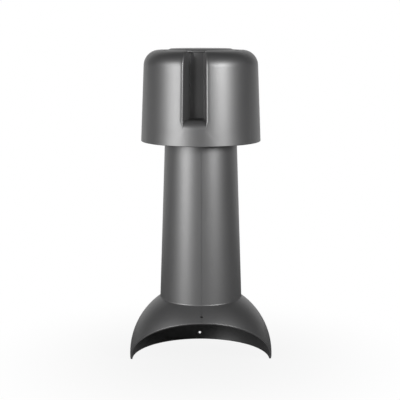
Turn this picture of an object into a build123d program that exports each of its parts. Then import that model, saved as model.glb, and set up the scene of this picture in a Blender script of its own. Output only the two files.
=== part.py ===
"""Roof vent outlet of two plastic mouldings.

A tapered pipe stands on a ball-shaped foot whose front is cut away like a visor, so that it can be
tilted and screwed down on a round roof plate. A rain cap is pushed over the top of the pipe. Three
recesses in the cap reach in to the pipe and hold it in the middle, and a gutter round the crown
drains into them under its lip.

+Z is up, the pipe's axis is the Z axis, the lower rim of the foot lies at z = 0, and the cut-away
front of the foot faces -Y.
"""

import os
from math import asin, atan, atan2, cos, degrees, hypot, radians, sin, sqrt, tan

from build123d import *

# Pipe, in millimetres and degrees
pipe_foot_diameter = 125.0
pipe_height = 400.0
pipe_taper = 1.95
pipe_wall = 3.0
pipe_end_round = 1.0

# Ball-shaped foot
dome_diameter = 220.0
dome_wall = 3.0
dome_centre_height = 11.0
neck_fillet = 2.5
bore_edge_round = 1.5
visor_angle = 44.0
visor_setback = 1.5
tip_round = 3.0
rim_round = 0.9
screw_hole_diameter = 4.2
screw_edge_distance = 11.0

# Rain cap
cap_rim_diameter = 180.0
cap_height = 137.4
cap_overlap = 58.0
cap_taper = 2.35
cap_wall = 2.5
cap_rim_round = 0.8
lip_width = 0.7
gutter_width = 11.0
gutter_depth = 3.0
gutter_round = 1.0
lip_bar_width = 2.0
lip_bar_height = 1.3
lip_bar_sink = 0.3
lip_bar_round = 0.3
crown_setback = 1.0
crown_run = 6.5
crown_slope = 22.0
crown_rise = 1.9
crown_undercut = 1.0
crown_round = 0.5
cap_turn = 7.0

# Recesses of the cap
recess_count = 3
recess_angle = 23.0
recess_edge_height = 36.0
recess_ramp_rise = 1.0
recess_fillet = 2.0
recess_edge_round = 2.2
sill_round = 12.0
sill_lean = 12.0
seat_clearance = 0.15

# Sizes that follow from these
dome_radius = dome_diameter / 2
dome_inner_radius = dome_radius - dome_wall
pipe_foot_radius = pipe_foot_diameter / 2
pipe_slope = tan(radians(pipe_taper))
pipe_wall_level = pipe_wall / cos(radians(pipe_taper))
seam_height = dome_centre_height + sqrt(dome_radius**2 - pipe_foot_radius**2)
cap_rim_radius = cap_rim_diameter / 2
cap_rim_height = pipe_height - cap_overlap
cap_top = cap_rim_height + cap_height
cap_slope = tan(radians(cap_taper))
lip_height = cap_top - crown_rise
gutter_floor = lip_height - gutter_depth


def pipe_radius(height):
    """Outer radius of the pipe's cone at a height."""
    return pipe_foot_radius - pipe_slope * (height - seam_height)


def cap_radius(height):
    """Outer radius of the cap's side at a height."""
    return cap_rim_radius - cap_slope * (height - cap_rim_height)


def round_corner(sketch, corner, radius):
    """Round the corner of a sketch that lies nearest to a point."""
    fillet(sketch.vertices().sort_by_distance(corner)[0], radius)


def bore_foot():
    """Radius and height where the pipe's bore runs out into the hollow of the foot."""
    axis_radius = pipe_radius(0) - pipe_wall_level
    a = 1 + pipe_slope**2
    b = dome_centre_height + axis_radius * pipe_slope
    c = axis_radius**2 + dome_centre_height**2 - dome_inner_radius**2
    height = (b + sqrt(b**2 - a * c)) / a
    return axis_radius - pipe_slope * height, height


def dome_angle(radius, height):
    """Angle above the ball's centre of a point in the section, in degrees."""
    return degrees(atan2(height - dome_centre_height, radius))


# Pipe and foot: one moulding, turned about the axis and then cut to the visor's shape
bore_radius, bore_height = bore_foot()
pipe_top_radius = pipe_radius(pipe_height)
seam_angle = dome_angle(pipe_foot_radius, seam_height)
bore_angle = dome_angle(bore_radius, bore_height)
skirt_angle = -2 * degrees(asin(dome_centre_height / dome_radius))
cut_reach = dome_diameter

with BuildPart() as vent_pipe:
    with BuildSketch(Plane.XZ) as wall_section:
        with BuildLine():
            outside = Line((pipe_top_radius, pipe_height), (pipe_foot_radius, seam_height))
            ball = CenterArc((0, dome_centre_height), dome_radius, seam_angle, skirt_angle - seam_angle)
            hollow = CenterArc((0, dome_centre_height), dome_inner_radius, skirt_angle,
                               bore_angle - skirt_angle)
            Line(ball @ 1, hollow @ 0)
            bore = Line(hollow @ 1, (pipe_top_radius - pipe_wall_level, pipe_height))
            Line(bore @ 1, outside @ 0)
        make_face()
        round_corner(wall_section, (pipe_foot_radius, seam_height), neck_fillet)
        round_corner(wall_section, (bore_radius, bore_height), bore_edge_round)
        round_corner(wall_section, (pipe_top_radius, pipe_height), pipe_end_round)
        round_corner(wall_section, (pipe_top_radius - pipe_wall_level, pipe_height), pipe_end_round)
    revolve(axis=Axis.Z)

    # Side view of what is cut away: below the rim behind, below the rising visor in front
    with BuildSketch(Plane.YZ) as visor_cut:
        with BuildLine():
            Polyline(
                (cut_reach, 0),
                (-visor_setback, 0),
                (-visor_setback - cut_reach, cut_reach * tan(radians(visor_angle))),
                (-visor_setback - cut_reach, -cut_reach),
                (cut_reach, -cut_reach),
                close=True,
            )
        make_face()
        round_corner(visor_cut, (-visor_setback, 0), tip_round)
    extrude(amount=cut_reach, both=True, mode=Mode.SUBTRACT)
    fillet(vent_pipe.edges(Select.LAST).filter_by(GeomType.LINE, reverse=True), rim_round)

    # One screw hole behind and one in front, each square to the ball's surface
    visor_depth = dome_centre_height + visor_setback * tan(radians(visor_angle))
    visor_edge = visor_angle - degrees(asin(visor_depth * cos(radians(visor_angle)) / dome_radius))
    rear_edge = -degrees(asin(dome_centre_height / dome_radius))
    screw_step = degrees(screw_edge_distance / dome_radius)
    for side, edge in ((-1, visor_edge), (1, rear_edge)):
        lift = radians(edge + screw_step)
        outward = Vector(0, side * cos(lift), sin(lift))
        with Locations(Plane(Vector(0, 0, dome_centre_height) + outward * dome_radius, z_dir=outward)):
            Hole(screw_hole_diameter / 2, depth=2 * dome_wall)

# Rain cap, sized from the pipe outwards: recess floors, crown, gutter, lip and then the shoulder
ceiling = gutter_floor - cap_wall
floor_wall = (seat_clearance + cap_wall) / cos(radians(pipe_taper))
seat_gap = seat_clearance / cos(radians(pipe_taper))
crown_edge_radius = pipe_radius(gutter_floor) + floor_wall - crown_setback
crown_edge_height = cap_top - crown_run * tan(radians(crown_slope))
crown_radius = crown_edge_radius - crown_run
crown_lip_radius = crown_radius + crown_rise / tan(radians(crown_slope))
crown_foot_radius = crown_edge_radius - crown_undercut
gutter_radius = crown_foot_radius + gutter_width
shoulder_centre = gutter_radius + lip_width
shoulder_radius = (cap_radius(lip_height) - shoulder_centre) / (1 / cos(radians(cap_taper)) - cap_slope)
shoulder_height = lip_height - shoulder_radius
inner_rim_radius = cap_rim_radius - cap_wall / cos(radians(cap_taper))
ceiling_angle = degrees(asin((ceiling - shoulder_height) / (shoulder_radius - cap_wall)))
lining_top = ceiling + cap_wall / 2
lining_end = degrees(asin((lining_top - shoulder_height) / (shoulder_radius - cap_wall / 2)))
recess_edge = cap_rim_height + recess_edge_height
recess_floor = recess_edge + recess_ramp_rise
ramp_foot = pipe_radius(recess_floor) + floor_wall
ramp_slope = recess_ramp_rise / (cap_radius(recess_edge) - ramp_foot)
ramp_wall = cap_wall * hypot(1, ramp_slope)
sill_turn = 90 - sill_lean - degrees(atan(ramp_slope))
sill_wall = (sill_round * (1 / cos(radians(sill_turn / 2)) - 1) + cap_wall) * sqrt(2)
mid_recess = (ramp_foot + cap_radius(recess_edge)) / 2
lining_angle = recess_angle + 2 * degrees(asin(cap_wall / mid_recess))
beyond = cap_rim_radius + shoulder_radius
above = cap_top + shoulder_radius
skin_tolerance = 0.01


def turned_plane(angle):
    """Plane through the axis, with its own x pointing outwards at an angle from the front."""
    turn = radians(angle - 90)
    return Plane((0, 0, 0), x_dir=(cos(turn), sin(turn), 0), z_dir=(sin(turn), -cos(turn), 0))


def touches(edge, corners):
    """True for an edge that ends at one of the corners."""
    return any(vertex in corners for vertex in edge.vertices())


def on_cap_skin(edge):
    """True for an edge that lies on the cap's side, shoulder or lip, seen from outside."""
    point = edge.position_at(0.5)
    radius = hypot(point.X, point.Y)
    if point.Z < shoulder_height:
        gap = radius - cap_radius(point.Z)
    elif radius > shoulder_centre:
        gap = hypot(radius - shoulder_centre, point.Z - shoulder_height) - shoulder_radius
    else:
        gap = point.Z - lip_height
    return abs(gap) < skin_tolerance


# Room of one recess, facing the front, with rounded inner corners
with BuildPart() as recess_room:
    with BuildSketch(turned_plane(-recess_angle / 2)) as room_section:
        with BuildLine():
            Polyline(
                (ramp_foot, recess_floor),
                (pipe_radius(above) + floor_wall, above),
                (beyond, above),
                (beyond, recess_edge - (beyond - cap_radius(recess_edge)) / tan(radians(sill_lean))),
                (cap_radius(recess_edge), recess_edge),
                close=True,
            )
        make_face()
        round_corner(room_section, (cap_radius(recess_edge), recess_edge), sill_round)
    revolve(axis=Axis.Z, revolution_arc=recess_angle)
    inner_corners = recess_room.vertices().sort_by_distance((0, -ramp_foot, recess_floor))[:2]
    fillet(recess_room.edges().filter_by(lambda edge: touches(edge, inner_corners)), recess_fillet)

# Wall that lines one recess, up to the middle of the cap's side and ceiling
with BuildPart() as recess_lining:
    with BuildSketch(turned_plane(-lining_angle / 2)):
        with BuildLine():
            lining = CenterArc((shoulder_centre, shoulder_height), shoulder_radius - cap_wall / 2,
                               cap_taper, lining_end - cap_taper)
            Polyline(
                (pipe_radius(recess_floor - ramp_wall) + seat_gap, recess_floor - ramp_wall),
                (pipe_radius(lining_top) + seat_gap, lining_top),
                lining @ 1,
            )
            Polyline(
                lining @ 0,
                (cap_radius(recess_edge) - cap_wall / 2, recess_edge - sill_wall + cap_wall / 2),
                (cap_radius(recess_edge) - sill_wall + ramp_wall, recess_edge - ramp_wall),
                (pipe_radius(recess_floor - ramp_wall) + seat_gap, recess_floor - ramp_wall),
            )
        make_face()
    revolve(axis=Axis.Z, revolution_arc=lining_angle)

with BuildPart() as rain_cap:
    with BuildSketch(Plane.XZ) as cap_section:
        with BuildLine():
            shoulder = CenterArc((shoulder_centre, shoulder_height), shoulder_radius,
                                 cap_taper, 90 - cap_taper)
            inside = CenterArc((shoulder_centre, shoulder_height), shoulder_radius - cap_wall,
                               cap_taper, ceiling_angle - cap_taper)
            Polyline(
                shoulder @ 1,
                (crown_lip_radius, lip_height),
                (crown_radius, cap_top),
                (0, cap_top),
                (0, cap_top - cap_wall),
                (crown_radius, cap_top - cap_wall),
                (crown_foot_radius - cap_wall, crown_edge_height - cap_wall),
                (crown_foot_radius - cap_wall, ceiling),
                inside @ 1,
            )
            Polyline(
                inside @ 0,
                (inner_rim_radius, cap_rim_height),
                (cap_rim_radius, cap_rim_height),
                shoulder @ 0,
            )
        make_face()
        round_corner(cap_section, (crown_radius, cap_top), crown_round)
        round_corner(cap_section, (cap_rim_radius, cap_rim_height), cap_rim_round)
        round_corner(cap_section, (inner_rim_radius, cap_rim_height), cap_rim_round)
    revolve(axis=Axis.Z)
    with PolarLocations(0, recess_count, start_angle=-cap_turn):
        add(recess_lining.part)
    with PolarLocations(0, recess_count, start_angle=-cap_turn):
        add(recess_room.part, mode=Mode.SUBTRACT)
    fillet(rain_cap.edges(Select.LAST).filter_by(on_cap_skin), recess_edge_round)

    # Gutter between the crown and the lip
    with BuildSketch(Plane.XZ) as gutter_section:
        with BuildLine():
            Polyline(
                (crown_lip_radius, lip_height),
                (crown_edge_radius, crown_edge_height),
                (crown_foot_radius, gutter_floor),
                (gutter_radius - gutter_depth / 2, gutter_floor),
                (gutter_radius, lip_height),
                (shoulder_centre, lip_height),
                (shoulder_centre, above),
                (crown_lip_radius, above),
                close=True,
            )
        make_face()
        round_corner(gutter_section, (crown_edge_radius, crown_edge_height), crown_round)
        round_corner(gutter_section, (gutter_radius - gutter_depth / 2, gutter_floor), gutter_round)
        round_corner(gutter_section, (gutter_radius, lip_height), gutter_round)
    revolve(axis=Axis.Z, mode=Mode.SUBTRACT)

    # Bars that carry the lip on over the recesses, in front of the gutter's outlets
    with BuildSketch(Plane.XZ) as bar_section:
        with Locations((gutter_radius, lip_height - lip_bar_sink)):
            Rectangle(lip_bar_width, lip_bar_height, align=(Align.MIN, Align.MAX))
        fillet(bar_section.vertices(), lip_bar_round)
    revolve(axis=Axis.Z)

os.makedirs("parts", exist_ok=True)
for node, piece in (("vent_pipe", vent_pipe), ("rain_cap", rain_cap)):
    piece.part.label = node
    export_step(piece.part, f"parts/{node}.step")
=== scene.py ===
"""Roof vent outlet in satin graphite plastic: pipe with ball foot, rain cap with drained recesses.

Sizes are in millimetres and angles in degrees, as in the part's own source, and become metres where
a mesh is made. The plastic's patterns and the studio are in metres. The pipe's axis is the Z axis
and the cut-away front of the foot faces -Y.
"""

from math import asin, atan, atan2, ceil, cos, degrees, hypot, pi, radians, sin, sqrt, tan

import bpy
import numpy as np
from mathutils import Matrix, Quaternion, Vector


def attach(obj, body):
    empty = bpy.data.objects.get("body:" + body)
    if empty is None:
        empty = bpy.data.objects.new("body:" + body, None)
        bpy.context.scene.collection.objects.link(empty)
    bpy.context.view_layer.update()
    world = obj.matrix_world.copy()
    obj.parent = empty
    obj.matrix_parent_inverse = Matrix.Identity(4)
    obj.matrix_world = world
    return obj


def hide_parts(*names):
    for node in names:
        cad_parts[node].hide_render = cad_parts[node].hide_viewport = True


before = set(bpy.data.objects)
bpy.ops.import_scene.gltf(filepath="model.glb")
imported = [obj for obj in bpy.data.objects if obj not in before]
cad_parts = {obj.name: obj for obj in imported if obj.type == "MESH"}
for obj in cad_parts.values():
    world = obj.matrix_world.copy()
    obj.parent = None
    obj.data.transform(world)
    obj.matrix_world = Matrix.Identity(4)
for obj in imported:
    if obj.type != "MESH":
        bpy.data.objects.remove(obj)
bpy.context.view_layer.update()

MM = 0.001
FRONT = -90.0
BODY = "root"

# Pipe and ball foot
PIPE_HEIGHT = 400.0
PIPE_FOOT_RADIUS = 62.5
PIPE_TAPER = 1.95
PIPE_WALL = 3.0
PIPE_END_ROUND = 1.0
BALL_RADIUS = 110.0
BALL_WALL = 3.0
BALL_CENTRE = 11.0
NECK_FILLET = 2.5
BORE_EDGE_ROUND = 1.5
VISOR_ANGLE = 44.0
VISOR_SETBACK = 1.5
TIP_ROUND = 3.0
RIM_ROUND = 0.9
SCREW_HOLE_RADIUS = 2.1
SCREW_EDGE_DISTANCE = 11.0
DRILL_LENGTH = 12.0

# Rain cap
CAP_RIM_RADIUS = 90.0
CAP_RIM_HEIGHT = 342.0
CAP_TOP = 479.4
CAP_TAPER = 2.35
CAP_WALL = 2.5
CAP_RIM_ROUND = 0.8
LIP_WIDTH = 0.7
GUTTER_WIDTH = 11.0
GUTTER_DEPTH = 3.0
GUTTER_ROUND = 1.0
LIP_BAR_WIDTH = 2.0
LIP_BAR_HEIGHT = 1.3
LIP_BAR_SINK = 0.3
LIP_BAR_ROUND = 0.3
CROWN_SETBACK = 1.0
CROWN_RUN = 6.5
CROWN_SLOPE = 22.0
CROWN_RISE = 1.9
CROWN_UNDERCUT = 1.0
CROWN_ROUND = 0.5
CAP_TURN = 7.0

# Recesses of the cap
RECESS_COUNT = 3
RECESS_ANGLE = 22.0
RECESS_EDGE_HEIGHT = 36.0
RECESS_RAMP_RISE = 1.0
RECESS_FILLET = 2.0
RECESS_EDGE_ROUND = 4.5
RECESS_CORNER_ROUND = 0.3
SILL_ROUND = 12.0
SILL_LEAN = 12.0
LINING_ROUND = 0.5
SEAT_CLEARANCE = 0.15

# How finely the surfaces are divided
ARC_STEP = 9.0
ARC_PARTS = 4
RUN_STEP = 8.0
SUPPORT = 0.5
WELD = 0.01
SHARP_ANGLE = 40.0
HOLE_SIDES = 48
BOW_POINTS = 10
BAR_COLUMNS = 17
RIM_SHARES = np.linspace(0, 1, 6)
FLOOR_SHARES = np.linspace(0, 1, 9)
CORNER_SHARES = np.linspace(0, 1, 6)[1:]
WALL_SHARES = np.linspace(0, 1, 6)[1:]
SKIN_SHARES = np.linspace(0, 1, 31)[1:]
LEAST_RADIUS = 1.0

# Azimuths of the pipe's columns, which lie closer together at the rim's tips and the screw holes
ROUND_STEP = 1.2
FINE_STEP = 0.3
ROUND_SPANS = [(-120.0, 240.0)]
TIP_SPANS = [(-5.0, 3.0), (177.0, 185.0)]
HOLE_SPANS = [(-93.0, -87.0), (87.0, 93.0)]

# Angles above the ball's centre between which the rim is looked for, by halving
RIM_LOWEST = -30.0
RIM_HIGHEST = 60.0
RIM_HALVINGS = 40

# How far from a recess's edges its ramp begins and ends, the skin beside it runs on, and the
# columns round the cap become even again
RAMP_START = 12.0
RAMP_END = 6.0
SKIN_RISE = 20.0
SPREAD = 20.0

# Graphite plastic: slow flow marks, a finer bloom, the grain of the mould, and its parting lines
GRAPHITE = (0.04, 0.04, 0.0408, 1)
GRAPHITE_PALE = (0.054, 0.054, 0.055, 1)
FLOW_SCALE, FLOW_DETAIL = 16.0, 3.0
BLOOM_SCALE, BLOOM_DETAIL = 240.0, 4.0
GRAIN_SCALE, GRAIN_DETAIL = 1900.0, 2.0
PARTING_WIDTH = 0.0006
PARTING_START = 0.053
GRAIN_RELIEF, BLOOM_RELIEF, PARTING_RELIEF = 0.6, 0.4, 1.5
RELIEF_STRENGTH, RELIEF_DEPTH = 0.35, 0.00004
ROUGHNESS, FLOW_ROUGHNESS, BLOOM_ROUGHNESS, PARTING_POLISH = 0.42, 0.04, 0.04, 0.12
REFRACTION, SPECULAR_LEVEL = 1.8, 1.0

# Studio. The walls fade by how far a direction points back, from -1 in front to 1 behind
WHITE = (1, 1, 1, 1)
FLOOR_PAINT = (0.4, 0.4, 0.4, 1)
BACKDROP_FADE = (0.55, 0.9)
FRONT_WALL_FADE = (-1.0, -0.85)

# Camera, placed by a fit to the photograph
LENS = 95.3
SENSOR = 36.0
CAMERA_DISTANCE = 1591.3
CAMERA_HEIGHT = 510.5
CAMERA_PITCH = 9.265
CAMERA_SWING = 0.872
CAMERA_AIM = 0.047


# Sections, as arrays of (radius, height) points

def bend(before, corner, after, radius):
    """Points of the arc that rounds a corner between two straight runs."""
    corner = np.array(corner)
    back, on = np.array(before) - corner, np.array(after) - corner
    back, on = back / np.hypot(*back), on / np.hypot(*on)
    half = np.arccos(back @ on) / 2
    centre = corner + (back + on) / np.hypot(*(back + on)) * radius / np.sin(half)
    start = corner + back * radius / np.tan(half) - centre
    end = corner + on * radius / np.tan(half) - centre
    sweep = pi - 2 * half
    parts = max(ARC_PARTS, ceil(degrees(sweep) / ARC_STEP))
    share = np.linspace(0, 1, parts + 1)[:, None]
    arc = start * np.sin((1 - share) * sweep) + end * np.sin(share * sweep)
    return centre + arc / np.sin(sweep)


def divided(start, end):
    """Points along a straight run, one close to each end so that shading stays flat between."""
    length = np.hypot(*(end - start))
    if length < 4 * SUPPORT:
        return np.array([start, end])
    shares = np.linspace(0, 1, ceil(length / RUN_STEP) + 1)[1:-1]
    shares = np.concatenate(([0, SUPPORT / length], shares, [1 - SUPPORT / length, 1]))
    return start + shares[:, None] * (end - start)


def joined(pieces):
    """One section from points and arcs, with straight runs between them."""
    line = [pieces[0]]
    for before, piece in zip(pieces, pieces[1:]):
        line += [divided(before[-1], piece[0])[1:], piece[1:]]
    return np.concatenate(line)


def section(*corners):
    """A section that runs through corners (radius, height, rounding)."""
    places = [np.array(corner[:2]) for corner in corners]
    pieces = [places[0][None]]
    for i in range(1, len(corners) - 1):
        rounding = corners[i][2]
        pieces.append(bend(*places[i - 1:i + 2], rounding) if rounding else places[i][None])
    return joined(pieces + [places[-1][None]])


def travelled(line):
    """Length along a section at each of its points."""
    return np.concatenate(([0], np.cumsum(np.hypot(*np.diff(line, axis=0).T))))


def beside(line, start, end):
    """Points of a straight run, at the same shares of it as the points of a section."""
    share = travelled(line) / travelled(line)[-1]
    return np.array(start) + share[:, None] * (np.array(end) - np.array(start))


def rounded_off(start, corner, end, shares):
    """Curve from start to end that leaves and arrives towards the corner, for arrays of points."""
    share = np.reshape(shares, (-1,) + (1,) * np.ndim(start))
    return (1 - share)**2 * start + 2 * share * (1 - share) * corner + share**2 * end


# Meshes, from grids of points

def turned(radius, height, azimuth):
    """Points at a radius, height and azimuth in radians, in metres."""
    return np.stack([radius * np.cos(azimuth), radius * np.sin(azimuth), height], -1) * MM


def grid_faces(rows, columns, offset=0, closed=False):
    """Faces of a grid of points, which look towards columns cross rows."""
    i = np.arange(rows if closed else rows - 1)[:, None]
    j = np.arange(columns if closed else columns - 1)[None, :]
    up, on = (i + 1) % rows, (j + 1) % columns
    corners = [i * columns + j, i * columns + on, up * columns + on, up * columns + j]
    return np.stack(corners, -1).reshape(-1, 4) + offset


def new_piece(name, points, faces):
    """A mesh object at the origin."""
    mesh = bpy.data.meshes.new(name)
    mesh.from_pydata(points.reshape(-1, 3).tolist(), [], faces.tolist())
    piece = bpy.data.objects.new(name, mesh)
    bpy.context.scene.collection.objects.link(piece)
    return piece


# Node trees, written as expressions

class Wire:
    """A node's output. Sums and products of wires and numbers add Math nodes to its tree."""

    def __init__(self, nodes, socket):
        self.nodes = nodes
        self.socket = socket

    def maths(self, operation, *values):
        return self.nodes.add("ShaderNodeMath", {"operation": operation}, dict(enumerate(values)))

    def __add__(self, other):
        return self.maths("ADD", self, other)

    def __radd__(self, other):
        return self.maths("ADD", other, self)

    def __sub__(self, other):
        return self.maths("SUBTRACT", self, other)

    def __rsub__(self, other):
        return self.maths("SUBTRACT", other, self)

    def __mul__(self, other):
        return self.maths("MULTIPLY", self, other)

    def __truediv__(self, other):
        return self.maths("DIVIDE", self, other)

    def __abs__(self):
        return self.maths("ABSOLUTE", self)

    def __gt__(self, other):
        return self.maths("GREATER_THAN", self, other)

    def __or__(self, other):
        return self.maths("MAXIMUM", self, other)


class Nodes:
    """A node tree that is being filled."""

    def __init__(self, tree):
        self.tree = tree
        tree.nodes.clear()

    def add(self, kind, settings=None, sockets=None, out=0):
        """Add a node, set it up, give its sockets values or wires, and return its outputs."""
        node = self.tree.nodes.new(kind)
        for name, value in (settings or {}).items():
            setattr(node, name, value)
        for name, value in (sockets or {}).items():
            for item in value if isinstance(value, list) else [value]:
                if isinstance(item, Wire):
                    self.tree.links.new(item.socket, node.inputs[name])
                else:
                    node.inputs[name].default_value = item
        names = out if isinstance(out, tuple) else (out,)
        outputs = [Wire(self, node.outputs[name]) for name in names if len(node.outputs)]
        return outputs[0] if len(outputs) == 1 else outputs


def new_tree(name, inputs):
    """A geometry tree that takes a mesh and named sizes, as its nodes and its inputs' wires."""
    tree = bpy.data.node_groups.new(name, "GeometryNodeTree")
    for label, kind in {"Mesh": "NodeSocketGeometry", **inputs}.items():
        tree.interface.new_socket(label, in_out="INPUT", socket_type=kind)
    tree.interface.new_socket("Mesh", in_out="OUTPUT", socket_type="NodeSocketGeometry")
    nodes = Nodes(tree)
    return nodes, nodes.add("NodeGroupInput", out=("Mesh",) + tuple(inputs))


def finish_tree(nodes, mesh, material):
    """End of a geometry tree: real, welded, smooth but for its sharp edges, in its material."""
    real = nodes.add("GeometryNodeRealizeInstances", {}, {"Geometry": mesh})
    whole = nodes.add("GeometryNodeMergeByDistance", {}, {
        "Geometry": real, "Distance": WELD * MM})
    angle = nodes.add("GeometryNodeInputMeshEdgeAngle")
    soft = nodes.add("FunctionNodeCompare", {"operation": "LESS_THAN"}, {
        0: angle, 1: radians(SHARP_ANGLE)})
    faces = nodes.add("GeometryNodeSetShadeSmooth", {"domain": "FACE"}, {"Geometry": whole})
    edges = nodes.add("GeometryNodeSetShadeSmooth", {"domain": "EDGE"}, {
        "Geometry": faces, "Shade Smooth": soft})
    coated = nodes.add("GeometryNodeSetMaterial", {}, {"Geometry": edges, "Material": material})
    nodes.add("NodeGroupOutput", {}, {"Mesh": coated})


def shape_with(piece, tree, sizes):
    """Run a geometry tree on a piece and keep the result as its plain mesh."""
    modifier = piece.modifiers.new(tree.name, "NODES")
    modifier.node_group = tree
    items = tree.interface.items_tree
    names = {item.name: item.identifier for item in items if item.in_out == "INPUT"}
    for name, value in sizes.items():
        modifier[names[name]] = value
    finished = piece.evaluated_get(bpy.context.evaluated_depsgraph_get())
    shaped = bpy.data.meshes.new_from_object(finished)
    piece.modifiers.remove(modifier)
    piece.data = shaped


# Graphite plastic

def pattern(nodes, place, scale, detail):
    """Noise through the body of a piece."""
    return nodes.add("ShaderNodeTexNoise", {}, {"Vector": place, "Scale": scale, "Detail": detail})


def graphite_plastic(name, partings):
    """Satin moulded plastic with a fine grain, and a fine line where the mould's parts met."""
    material = bpy.data.materials.new(name)
    material.use_nodes = True
    nodes = Nodes(material.node_tree)
    place = nodes.add("ShaderNodeTexCoord", out="Object")
    flow = pattern(nodes, place, FLOW_SCALE, FLOW_DETAIL)
    bloom = pattern(nodes, place, BLOOM_SCALE, BLOOM_DETAIL)
    grain = pattern(nodes, place, GRAIN_SCALE, GRAIN_DETAIL)
    x, y = nodes.add("ShaderNodeSeparateXYZ", {}, {"Vector": place}, out=("X", "Y"))

    lines = []
    for angle in partings:
        along, across = cos(radians(angle)), sin(radians(angle))
        apart = abs(y * along - x * across)
        near = 1 - (apart > PARTING_WIDTH)
        lines.append(near * (x * along + y * across > PARTING_START))
    parting = lines[0]
    for line in lines[1:]:
        parting = parting | line

    tone = nodes.add("ShaderNodeMix", {"data_type": "RGBA"},
                     {"Factor": flow, 6: GRAPHITE, 7: GRAPHITE_PALE}, out=2)
    relief = grain * GRAIN_RELIEF + bloom * BLOOM_RELIEF + parting * PARTING_RELIEF
    bump = nodes.add("ShaderNodeBump", {}, {
        "Strength": RELIEF_STRENGTH, "Distance": RELIEF_DEPTH, "Height": relief})
    gloss = (ROUGHNESS + flow * FLOW_ROUGHNESS + bloom * BLOOM_ROUGHNESS
             - parting * PARTING_POLISH)
    surface = nodes.add("ShaderNodeBsdfPrincipled", {}, {
        "Base Color": tone, "Roughness": gloss, "IOR": REFRACTION,
        "Specular IOR Level": SPECULAR_LEVEL, "Normal": bump})
    nodes.add("ShaderNodeOutputMaterial", {}, {"Surface": surface})
    return material


# Pipe with its ball foot: one moulding, whose lower rim follows the visor's cut

pipe_slope = tan(radians(PIPE_TAPER))
pipe_wall_level = PIPE_WALL / cos(radians(PIPE_TAPER))
seam_height = BALL_CENTRE + sqrt(BALL_RADIUS**2 - PIPE_FOOT_RADIUS**2)
hollow_radius = BALL_RADIUS - BALL_WALL


def pipe_radius(height):
    """Outer radius of the pipe's cone at a height."""
    return PIPE_FOOT_RADIUS - pipe_slope * (height - seam_height)


def bore_foot():
    """Radius and height where the bore runs out into the hollow of the foot."""
    axis_radius = pipe_radius(0) - pipe_wall_level
    a = 1 + pipe_slope**2
    b = BALL_CENTRE + axis_radius * pipe_slope
    c = axis_radius**2 + BALL_CENTRE**2 - hollow_radius**2
    height = (b + sqrt(b**2 - a * c)) / a
    return axis_radius - pipe_slope * height, height


def visor_cut(y):
    """Height below which the foot is cut away, seen from the side."""
    rise = radians(VISOR_ANGLE)
    run = TIP_ROUND * tan(rise / 2)
    ahead = np.minimum(y + VISOR_SETBACK - run, 0)
    tip = TIP_ROUND - np.sqrt(np.maximum(TIP_ROUND**2 - ahead**2, 0))
    slope = -(y + VISOR_SETBACK) * tan(rise)
    return np.where(y < -VISOR_SETBACK - run * cos(rise), slope, tip)


def rim_angle(azimuth, radius):
    """Angle above the ball's centre at which the cut meets a sphere, at azimuths in radians."""
    low = np.full_like(azimuth, radians(RIM_LOWEST))
    high = np.full_like(azimuth, radians(RIM_HIGHEST))
    for _ in range(RIM_HALVINGS):
        middle = (low + high) / 2
        cut = visor_cut(radius * np.cos(middle) * np.sin(azimuth))
        kept = BALL_CENTRE + radius * np.sin(middle) > cut
        low, high = np.where(kept, low, middle), np.where(kept, middle, high)
    return middle


def on_ball(radius, angle):
    """Radius and height of points on a sphere about the ball's centre."""
    return np.stack([radius * np.cos(angle), BALL_CENTRE + radius * np.sin(angle)], -1)


def ball_angle(point):
    """Angle above the ball's centre of a point in the section."""
    return atan2(point[1] - BALL_CENTRE, point[0])


def past(point, angle):
    """A point further down the ball's surface in the section, along its slope."""
    return point[0] + sin(angle), point[1] - cos(angle)


def spaced(spans, step):
    """Azimuths a step apart in each of some spans."""
    return np.concatenate([np.arange(*span, step) for span in spans])


def pipe_azimuths():
    """Azimuths of the pipe's columns in radians, even but for the close ones."""
    close = np.concatenate([spaced(TIP_SPANS, FINE_STEP), spaced(HOLE_SPANS, 2 * FINE_STEP)])
    even = spaced(ROUND_SPANS, ROUND_STEP)
    apart = np.abs((even[:, None] - close[None] + 180) % 360 - 180).min(1)
    return np.radians(np.sort(np.concatenate([even[apart > FINE_STEP], close]))[::-1])


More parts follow.
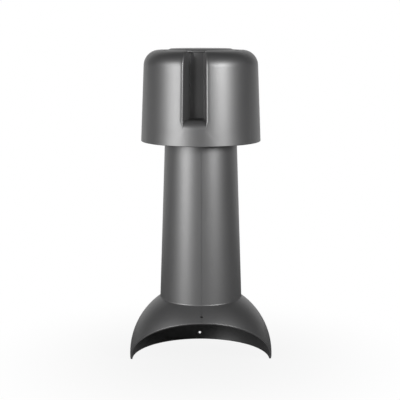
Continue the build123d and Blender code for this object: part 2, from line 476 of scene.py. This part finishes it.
def pipe_and_foot():
    """The pipe's section is the same all round. The ball's runs on to the cut at each azimuth."""
    azimuth = pipe_azimuths()
    top = pipe_radius(PIPE_HEIGHT)
    seam, bore = (PIPE_FOOT_RADIUS, seam_height), bore_foot()
    outer_end, inner_end = (top, PIPE_HEIGHT), (top - pipe_wall_level, PIPE_HEIGHT)
    tube = joined([
        bend(past(bore, ball_angle(bore)), bore, inner_end, BORE_EDGE_ROUND),
        bend(bore, inner_end, outer_end, PIPE_END_ROUND),
        bend(inner_end, outer_end, seam, PIPE_END_ROUND),
        bend(outer_end, seam, past(seam, ball_angle(seam)), NECK_FILLET),
    ])
    tube = np.repeat(tube[:, None], len(azimuth), 1)

    shares = divided(np.zeros(2), np.array([BALL_RADIUS, 0]))[1:-1, 0] / BALL_RADIUS
    outer, inner = rim_angle(azimuth, BALL_RADIUS), rim_angle(azimuth, hollow_radius)
    outer_start = outer + RIM_ROUND / BALL_RADIUS
    inner_start = inner + RIM_ROUND / hollow_radius
    neck, throat = ball_angle(tube[-1, 0]), ball_angle(tube[0, 0])
    ball = on_ball(BALL_RADIUS, neck + shares[:, None] * (outer_start - neck))
    hollow = on_ball(hollow_radius, throat + shares[::-1, None] * (inner_start - throat))

    outer_edge, inner_edge = on_ball(BALL_RADIUS, outer), on_ball(hollow_radius, inner)
    across = inner_edge - outer_edge
    across *= RIM_ROUND / np.hypot(across[:, 0], across[:, 1])[:, None]
    ball_end, hollow_end = on_ball(BALL_RADIUS, outer_start), on_ball(hollow_radius, inner_start)
    rim = np.concatenate([
        rounded_off(ball_end, outer_edge, outer_edge + across, RIM_SHARES),
        rounded_off(inner_edge - across, inner_edge, hollow_end, RIM_SHARES),
    ])
    loop = np.concatenate([tube, ball, rim, hollow])
    points = turned(loop[..., 0], loop[..., 1], np.broadcast_to(azimuth, loop.shape[:2]))
    return new_piece("pipe_and_foot", points, grid_faces(*loop.shape[:2], closed=True))


def screw_hole_tree(material):
    """Geometry tree that drills the foot's two screw holes square to the ball."""
    nodes, (mesh, radius, depth) = new_tree("screw holes", {
        "Hole radius": "NodeSocketFloat", "Hole depth": "NodeSocketFloat"})
    drill = nodes.add("GeometryNodeMeshCylinder", {}, {
        "Vertices": HOLE_SIDES, "Radius": radius, "Depth": depth})
    drills = []
    for side, azimuth in ((-1, FRONT), (1, -FRONT)):
        rim = rim_angle(np.array([radians(azimuth)]), BALL_RADIUS)[0]
        lift = rim + SCREW_EDGE_DISTANCE / BALL_RADIUS
        outward = Vector((0, side * cos(lift), sin(lift)))
        place = (Vector((0, 0, BALL_CENTRE)) + outward * BALL_RADIUS) * MM
        drills.append(nodes.add("GeometryNodeTransform", {}, {
            "Geometry": drill, "Translation": place,
            "Rotation": (atan2(-outward.y, outward.z), 0, 0)}))
    drilled = nodes.add("GeometryNodeMeshBoolean", {"operation": "DIFFERENCE", "solver": "EXACT"},
                        {"Mesh 1": mesh, "Mesh 2": drills})
    finish_tree(nodes, drilled, material)
    return nodes.tree


# Rain cap: a third of it, with one recess, repeated round the axis

cap_slope = tan(radians(CAP_TAPER))
cap_wall_level = CAP_WALL / cos(radians(CAP_TAPER))
cap_front = FRONT - CAP_TURN
third_turn = 360 / RECESS_COUNT
lip_height = CAP_TOP - CROWN_RISE
gutter_floor = lip_height - GUTTER_DEPTH
ceiling = gutter_floor - CAP_WALL
floor_wall = (SEAT_CLEARANCE + CAP_WALL) / cos(radians(PIPE_TAPER))
seat_gap = SEAT_CLEARANCE / cos(radians(PIPE_TAPER))
crown_edge_radius = pipe_radius(gutter_floor) + floor_wall - CROWN_SETBACK
crown_edge_height = CAP_TOP - CROWN_RUN * tan(radians(CROWN_SLOPE))
crown_radius = crown_edge_radius - CROWN_RUN
crown_foot_radius = crown_edge_radius - CROWN_UNDERCUT
gutter_radius = crown_foot_radius + GUTTER_WIDTH
shoulder_centre = gutter_radius + LIP_WIDTH
recess_edge = CAP_RIM_HEIGHT + RECESS_EDGE_HEIGHT
recess_floor = recess_edge + RECESS_RAMP_RISE


def cap_radius(height):
    """Outer radius of the cap's side at a height."""
    return CAP_RIM_RADIUS - cap_slope * (height - CAP_RIM_HEIGHT)


shoulder_radius = ((cap_radius(lip_height) - shoulder_centre)
                   / (1 / cos(radians(CAP_TAPER)) - cap_slope))
shoulder_height = lip_height - shoulder_radius
ramp_foot = pipe_radius(recess_floor) + floor_wall
ramp_slope = RECESS_RAMP_RISE / (cap_radius(recess_edge) - ramp_foot)
ramp_wall = CAP_WALL * hypot(1, ramp_slope)
ramp_middle = (ramp_foot + cap_radius(recess_edge)) / 2
sill_turn = radians(90 - SILL_LEAN) - atan(ramp_slope)
sill_wall = (SILL_ROUND * (1 / cos(sill_turn / 2) - 1) + CAP_WALL) * sqrt(2)
lining_angle = RECESS_ANGLE + 2 * degrees(asin(CAP_WALL / ramp_middle))


def outer_sections():
    """Outside of the cap between two recesses, and through one, from the rim to the axis."""
    def side(height):
        return cap_radius(height), height

    def floor(height):
        return pipe_radius(height) + floor_wall, height

    start, skin_start = side(recess_edge - RAMP_START), side(recess_edge + SKIN_RISE)
    floor_start, meet = floor(recess_floor + RAMP_END), floor(gutter_floor)
    rim = section((CAP_RIM_RADIUS - cap_wall_level / 2, CAP_RIM_HEIGHT),
                  (*side(CAP_RIM_HEIGHT), CAP_RIM_ROUND), start)
    ramp = section(start, (*side(recess_edge), SILL_ROUND),
                   (ramp_foot, recess_floor, RECESS_FILLET), floor_start)
    skin = section(skin_start, (*side(lip_height), shoulder_radius),
                   (gutter_radius, lip_height, GUTTER_ROUND),
                   (gutter_radius - GUTTER_DEPTH / 2, gutter_floor, GUTTER_ROUND), meet)
    crown = section(meet, (crown_foot_radius, gutter_floor, 0),
                    (crown_edge_radius, crown_edge_height, CROWN_ROUND),
                    (crown_radius, CAP_TOP, CROWN_ROUND), (0, CAP_TOP))
    between = np.concatenate([rim, beside(ramp, start, skin_start)[1:], skin[1:], crown[1:]])
    through = np.concatenate([rim, ramp[1:], beside(skin, floor_start, meet)[1:], crown[1:]])
    return between, through


def inner_sections():
    """Inside of the cap between two recesses, and along the seat of a lining on the pipe."""
    def side(height):
        return cap_radius(height) - cap_wall_level, height

    def seat(height):
        return pipe_radius(height) + seat_gap, height

    lining_edge, seat_foot = recess_edge - sill_wall + CAP_WALL, recess_floor - ramp_wall
    start, skin_start = side(lining_edge), side(lining_edge + SKIN_RISE)
    seat_start, meet = seat(seat_foot + RAMP_END), seat(ceiling)
    rim = section((CAP_RIM_RADIUS - cap_wall_level / 2, CAP_RIM_HEIGHT),
                  (*side(CAP_RIM_HEIGHT), CAP_RIM_ROUND), start)
    ramp_edge = cap_radius(recess_edge) - sill_wall + ramp_wall, recess_edge - ramp_wall
    ramp = section(start, (*ramp_edge, LINING_ROUND), (*seat(seat_foot), LINING_ROUND), seat_start)
    arc_radius = shoulder_radius - CAP_WALL
    arc_end = asin((ceiling - shoulder_height) / arc_radius)
    bow = np.linspace(radians(CAP_TAPER), arc_end, BOW_POINTS)
    arc = np.stack([shoulder_centre + arc_radius * np.cos(bow),
                    shoulder_height + arc_radius * np.sin(bow)], -1)
    skin = joined([np.array([skin_start]), arc, np.array([meet])])
    crown = section(meet, (crown_foot_radius - CAP_WALL, ceiling, LINING_ROUND),
                    (crown_foot_radius - CAP_WALL, crown_edge_height - CAP_WALL, LINING_ROUND),
                    (crown_radius, CAP_TOP - CAP_WALL, LINING_ROUND), (0, CAP_TOP - CAP_WALL))
    between = np.concatenate([rim, beside(ramp, start, skin_start)[1:], skin[1:], crown[1:]])
    through = np.concatenate([rim, ramp[1:], beside(skin, seat_start, meet)[1:], crown[1:]])
    return between, through


def recessed_third(between, through, width, edge_round, corner_round):
    """Points of a third of a wall: a section through its middle, another beyond, walls between."""
    apart = through - between
    depth = np.hypot(*apart.T)
    inward = apart / np.maximum(depth, WELD)[:, None]
    edge, corner = np.minimum(edge_round, depth / 2), np.minimum(corner_round, depth / 2)
    run = travelled(between)
    parted = np.flatnonzero(depth > WELD)
    first, last = run[parted[0] - 1], run[parted[-1] + 1]
    reach = np.clip(np.minimum(run - first, last - run) / RECESS_FILLET, 0, 1)
    skin_radius = np.maximum(between[:, 0], LEAST_RADIUS)
    floor_radius = np.maximum(through[:, 0], LEAST_RADIUS)
    narrowing = RECESS_FILLET / skin_radius * (1 - np.sqrt(1 - (1 - reach)**2))
    half = radians(width / 2) - narrowing
    half_third = radians(third_turn / 2)

    def at(line, angle):
        return np.column_stack([line, angle])

    floor_end, skin_start = half - corner / floor_radius, half + edge / skin_radius
    wall_foot = through - inward * corner[:, None]
    wall_head = between + inward * edge[:, None]
    floor = at(through, 0 * half) + FLOOR_SHARES[:, None, None] * at(0 * through, floor_end)
    foot = rounded_off(at(through, floor_end), at(through, half), at(wall_foot, half),
                       CORNER_SHARES)
    wall = at(wall_foot, half) + WALL_SHARES[:, None, None] * at(wall_head - wall_foot, 0 * half)
    head = rounded_off(at(wall_head, half), at(between, half), at(between, skin_start),
                       CORNER_SHARES)
    skin_run = at(0 * between, half_third - skin_start)
    skin = at(between, skin_start) + SKIN_SHARES[:, None, None] * skin_run
    columns = np.concatenate([floor, foot, wall, head, skin])

    outside = np.maximum(np.maximum(first - run, run - last), 0)
    even = np.clip(outside / SPREAD, 0, 1)
    even_angles = np.linspace(0, half_third, len(columns))[:, None]
    columns[..., 2] += even * (even_angles - columns[..., 2])
    mirrored = columns[:0:-1] * (1, 1, -1)
    columns = np.concatenate([mirrored, columns]).transpose(1, 0, 2)
    return turned(columns[..., 0], columns[..., 1], columns[..., 2] + radians(cap_front))


def lip_bar():
    """Points of the bar that carries the lip on over a recess, with its ends inside the walls."""
    top = lip_height - LIP_BAR_SINK
    bottom = top - LIP_BAR_HEIGHT
    inner, outer = gutter_radius, gutter_radius + LIP_BAR_WIDTH
    corners = [(inner, bottom), (outer, bottom), (outer, top), (inner, top)]
    rounds = [bend(corners[i - 1], corners[i], corners[(i + 1) % 4], LIP_BAR_ROUND)
              for i in range(4)]
    loop = joined(rounds + [rounds[0][:1]])
    azimuth = np.radians(cap_front + lining_angle / 2 * np.linspace(-1, 1, BAR_COLUMNS))
    height = np.broadcast_to(loop[:, 1:], (len(loop), BAR_COLUMNS))
    return turned(loop[:, :1], height, azimuth[None])


def third_of_cap():
    """One third of the cap: outside and inside, joined along the rim, and the recess's bar."""
    grids = [
        recessed_third(*outer_sections(), RECESS_ANGLE, RECESS_EDGE_ROUND, RECESS_CORNER_ROUND),
        recessed_third(*inner_sections(), lining_angle, LINING_ROUND, LINING_ROUND)[::-1],
        lip_bar(),
    ]
    points, faces, count = [], [], 0
    for grid in grids:
        points.append(grid.reshape(-1, 3))
        faces.append(grid_faces(*grid.shape[:2], offset=count))
        count += len(points[-1])
    return new_piece("rain_cap_shell", np.concatenate(points), np.concatenate(faces))


def round_the_axis_tree(material):
    """Geometry tree that repeats a mesh round the Z axis."""
    nodes, (mesh, count) = new_tree("round the axis", {"Count": "NodeSocketInt"})
    places = nodes.add("GeometryNodePoints", {}, {"Count": count})
    turn = nodes.add("GeometryNodeInputIndex") * (2 * pi) / count
    rotation = nodes.add("FunctionNodeAxisAngleToRotation", {}, {"Axis": (0, 0, 1), "Angle": turn})
    thirds = nodes.add("GeometryNodeInstanceOnPoints", {}, {
        "Points": places, "Instance": mesh, "Rotation": rotation})
    finish_tree(nodes, thirds, material)
    return nodes.tree


# The cap's parting lines lie half way between its recesses
cap_partings = [cap_front + third_turn * (k + 0.5) for k in range(RECESS_COUNT)]
pipe_plastic = graphite_plastic("graphite_plastic_pipe", [FRONT, -FRONT])
cap_plastic = graphite_plastic("graphite_plastic_cap", cap_partings)

pipe = pipe_and_foot()
shape_with(pipe, screw_hole_tree(pipe_plastic), {
    "Hole radius": SCREW_HOLE_RADIUS * MM, "Hole depth": DRILL_LENGTH * MM})
cap = third_of_cap()
shape_with(cap, round_the_axis_tree(cap_plastic), {"Count": RECESS_COUNT})
for piece, node in ((pipe, "vent_pipe"), (cap, "rain_cap")):
    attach(piece, BODY)
    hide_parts(node)


# Studio

def light_path(nodes):
    """Rays that show a surface directly, and rays that show it mirrored or through glass."""
    camera, glossy, through = nodes.add("ShaderNodeLightPath", out=(
        "Is Camera Ray", "Is Glossy Ray", "Is Transmission Ray"))
    return camera, glossy | through


def fading(nodes, value, start, end, first, last):
    """Smooth change from a first to a last number while a value runs from start to end."""
    return nodes.add("ShaderNodeMapRange", {"interpolation_type": "SMOOTHSTEP"}, {
        "Value": value, "From Min": start, "From Max": end, "To Min": first, "To Max": last})


def white_backdrop(fill, front):
    """White backdrop behind the object, in a dim room with a paler wall in front."""
    world = bpy.data.worlds.new("studio")
    world.use_nodes = True
    nodes = Nodes(world.node_tree)
    direct, mirrored = light_path(nodes)
    towards = nodes.add("ShaderNodeTexCoord", out="Generated")
    back = nodes.add("ShaderNodeSeparateXYZ", {}, {"Vector": towards}, out="Y")
    walls = (fading(nodes, back, *BACKDROP_FADE, 0.0, 1.0)
             | fading(nodes, back, *FRONT_WALL_FADE, front, 0.0))
    strength = direct | mirrored * walls | fill
    white = nodes.add("ShaderNodeBackground", {}, {"Color": WHITE, "Strength": strength})
    nodes.add("ShaderNodeOutputWorld", {}, {"Surface": white})
    bpy.context.scene.world = world


def pale_floor(size, shadow, reach, mirrored_from, mirrored_to):
    """White floor that keeps a faint shadow below the object, and is mirrored well behind it."""
    material = bpy.data.materials.new("studio_floor")
    material.use_nodes = True
    nodes = Nodes(material.node_tree)
    direct, mirrored = light_path(nodes)
    place = nodes.add("ShaderNodeTexCoord", out="Object")
    distance = nodes.add("ShaderNodeVectorMath", {"operation": "LENGTH"}, {0: place}, out="Value")
    shown = direct * fading(nodes, distance, 0.0, reach, 1 - shadow, 1.0)
    behind = nodes.add("ShaderNodeSeparateXYZ", {}, {"Vector": place}, out="Y")
    shown = shown | mirrored * fading(nodes, behind, mirrored_from, mirrored_to, 0.0, 1.0)
    paint = nodes.add("ShaderNodeBsdfDiffuse", {}, {"Color": FLOOR_PAINT})
    glow = nodes.add("ShaderNodeEmission", {}, {"Color": WHITE, "Strength": 1.0})
    mixed = nodes.add("ShaderNodeMixShader", {}, {0: shown, 1: paint, 2: glow})
    nodes.add("ShaderNodeOutputMaterial", {}, {"Surface": mixed})
    half = size / 2
    corners = np.array([(-half, -half, 0), (half, -half, 0), (half, half, 0), (-half, half, 0)])
    floor = new_piece("studio_floor", corners, np.array([[0, 1, 2, 3]]))
    floor.data.materials.append(material)


def softbox(name, azimuth, distance, bottom, width, height, lean, power):
    """Soft light that faces the pipe's axis, at an azimuth from the front, leaning to the side."""
    lamp = bpy.data.lights.new(name, "AREA")
    lamp.shape, lamp.size, lamp.size_y, lamp.energy = "RECTANGLE", width, height, power
    light = bpy.data.objects.new(name, lamp)
    outward = Vector((cos(radians(FRONT + azimuth)), sin(radians(FRONT + azimuth)), 0))
    light.location = outward * distance + Vector((0, 0, bottom + height / 2))
    leaning = Quaternion((0, 0, 1), radians(lean))
    light.rotation_euler = (outward.to_track_quat("Z", "Y") @ leaning).to_euler()
    light.visible_camera = False
    bpy.context.scene.collection.objects.link(light)


def camera_as_in_photograph():
    """Camera a little higher than the cap and a little to the left of the front."""
    data = bpy.data.cameras.new("camera")
    data.lens, data.sensor_width = LENS, SENSOR
    camera = bpy.data.objects.new("camera", data)
    swing = radians(CAMERA_SWING)
    camera.location = Vector((-sin(swing) * CAMERA_DISTANCE, -cos(swing) * CAMERA_DISTANCE,
                              CAMERA_HEIGHT)) * MM
    camera.rotation_euler = (radians(90 - CAMERA_PITCH), 0, radians(CAMERA_AIM - CAMERA_SWING))
    bpy.context.scene.collection.objects.link(camera)
    bpy.context.scene.camera = camera


white_backdrop(fill=0.01, front=0.13)
pale_floor(size=12.0, shadow=0.12, reach=0.4, mirrored_from=0.4, mirrored_to=1.2)
softbox("left_softbox", azimuth=-49, distance=1.6, bottom=0.06, width=0.8, height=1.05,
        lean=40, power=21)
softbox("right_softbox", azimuth=39, distance=1.6, bottom=0.55, width=0.54, height=0.42,
        lean=0, power=20)
camera_as_in_photograph()
bpy.context.scene.view_settings.view_transform = "Standard"
